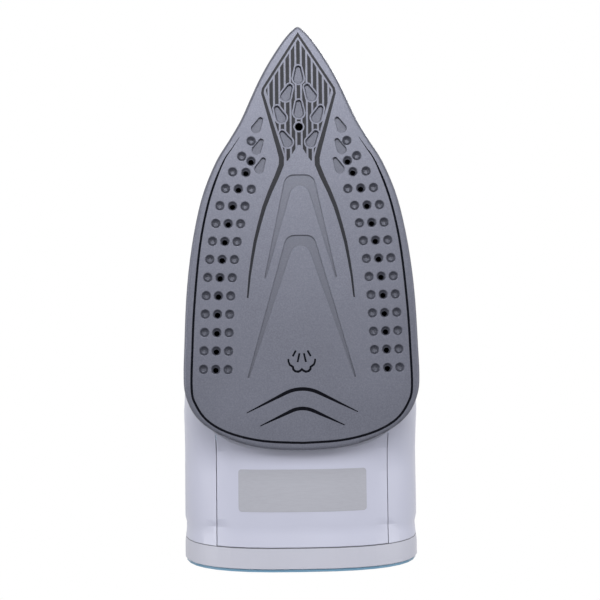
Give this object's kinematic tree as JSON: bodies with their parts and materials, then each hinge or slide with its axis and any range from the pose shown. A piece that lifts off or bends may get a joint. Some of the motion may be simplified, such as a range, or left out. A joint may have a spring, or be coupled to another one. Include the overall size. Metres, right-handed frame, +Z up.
{
  "type": "steam iron",
  "caption": "Corded steam iron standing on its heel: pointed dimpled soleplate, rounded white body with water tank, closed handle with controls and cord gland.",
  "frame": {"origin": "on the heel face, on the symmetry plane, near the middle of the heel from the soleplate side to the handle side", "axes": "+Z up towards the tip, the soleplate faces -Y and leans back by 8 degrees, +X to the right of someone who looks at the soleplate"},
  "size_m": [0.122, 0.1599, 0.2744],
  "materials": {
    "coated_soleplate": "satin ceramic-look coating",
    "element_sheath": "satin",
    "gasket_silicone": "matt",
    "alloy_sheet": "mill finish",
    "screw_steel": "zinc plated",
    "steatite": "matt",
    "fuse_ceramic": "matt",
    "phenolic": "matt",
    "white_shell": "semi-gloss",
    "white_cap": "semi-gloss",
    "blue_plastic": "semi-gloss",
    "tank_plastic": "clear tinted",
    "soft_grey": "soft touch",
    "hose_silicone": "translucent",
    "amber_lens": "clear",
    "lamp_glass": "clear",
    "block_plastic": "matt",
    "brass": "bright",
    "gland_rubber": "matt"
  },
  "bodies": {
    "iron": {"soleplate": "coated_soleplate", "heating_element": "element_sheath", "chamber_gasket": "gasket_silicone", "chamber_cover": "alloy_sheet", "chamber_screws": "screw_steel", "thermostat": "steatite", "thermal_fuse": "fuse_ceramic", "heat_shield": "phenolic", "lower_housing": "white_shell", "rear_panel": "white_shell", "heel_cap": "white_cap", "heel_foot": "blue_plastic", "heel_screws": "screw_steel", "water_tank": "tank_plastic", "valve_seat": "gasket_silicone", "handle_base": "white_shell", "handle_cover": "white_shell", "grip_pad": "soft_grey", "dial_collar": "white_cap", "spray_pump": "white_cap", "spray_spring": "screw_steel", "steam_pump": "white_cap", "steam_spring": "screw_steel", "spray_hose": "hose_silicone", "steam_hose": "hose_silicone", "spray_nozzle": "blue_plastic", "filler_pin": "screw_steel", "indicator_lens": "amber_lens", "indicator_lamp": "lamp_glass", "terminal_block": "block_plastic", "terminal_screws": "brass", "gland_collar": "phenolic"},
    "dial": {"temperature_dial": "blue_plastic", "thermostat_shaft": "screw_steel"},
    "knob": {"steam_knob": "blue_plastic", "valve_rod": "screw_steel"},
    "spray_key": {"spray_button": "blue_plastic"},
    "steam_key": {"steam_button": "blue_plastic"},
    "door": {"filler_door": "blue_plastic"},
    "gland": {"cord_gland": "gland_rubber"}
  },
  "joints": [
    {"name": "temperature_dial", "type": "hinge", "parent": "iron", "child": "dial", "pos_m": [0, 0.0355, 0.13065], "axis": [0, 0.9903, -0.1392], "range_deg": [0, 270]},
    {"name": "steam_setting", "type": "hinge", "parent": "iron", "child": "knob", "pos_m": [0, 0.1015, 0.17994], "axis": [0, 0.9903, -0.1392], "range_deg": [0, 120]},
    {"name": "spray_press", "type": "slide", "parent": "iron", "child": "spray_key", "axis": [0, -0.9903, 0.1392], "range_m": [0, 0.006], "stiffness_N_per_m": 800, "springref_m": -0.003, "deforming": ["spray_spring"]},
    {"name": "steam_press", "type": "slide", "parent": "iron", "child": "steam_key", "axis": [0, -0.9903, 0.1392], "range_m": [0, 0.006], "stiffness_N_per_m": 800, "springref_m": -0.003, "deforming": ["steam_spring"]},
    {"name": "filler_door", "type": "hinge", "parent": "iron", "child": "door", "pos_m": [0, 0.07824, 0.20415], "axis": [1, 0, 0], "range_deg": [-100, 0]},
    {"name": "gland_swing", "type": "hinge", "parent": "iron", "child": "gland", "pos_m": [0, 0.06713, 0.02522], "axis": [0, 0.477, 0.8789], "range_deg": [-25, 25]}
  ]
}
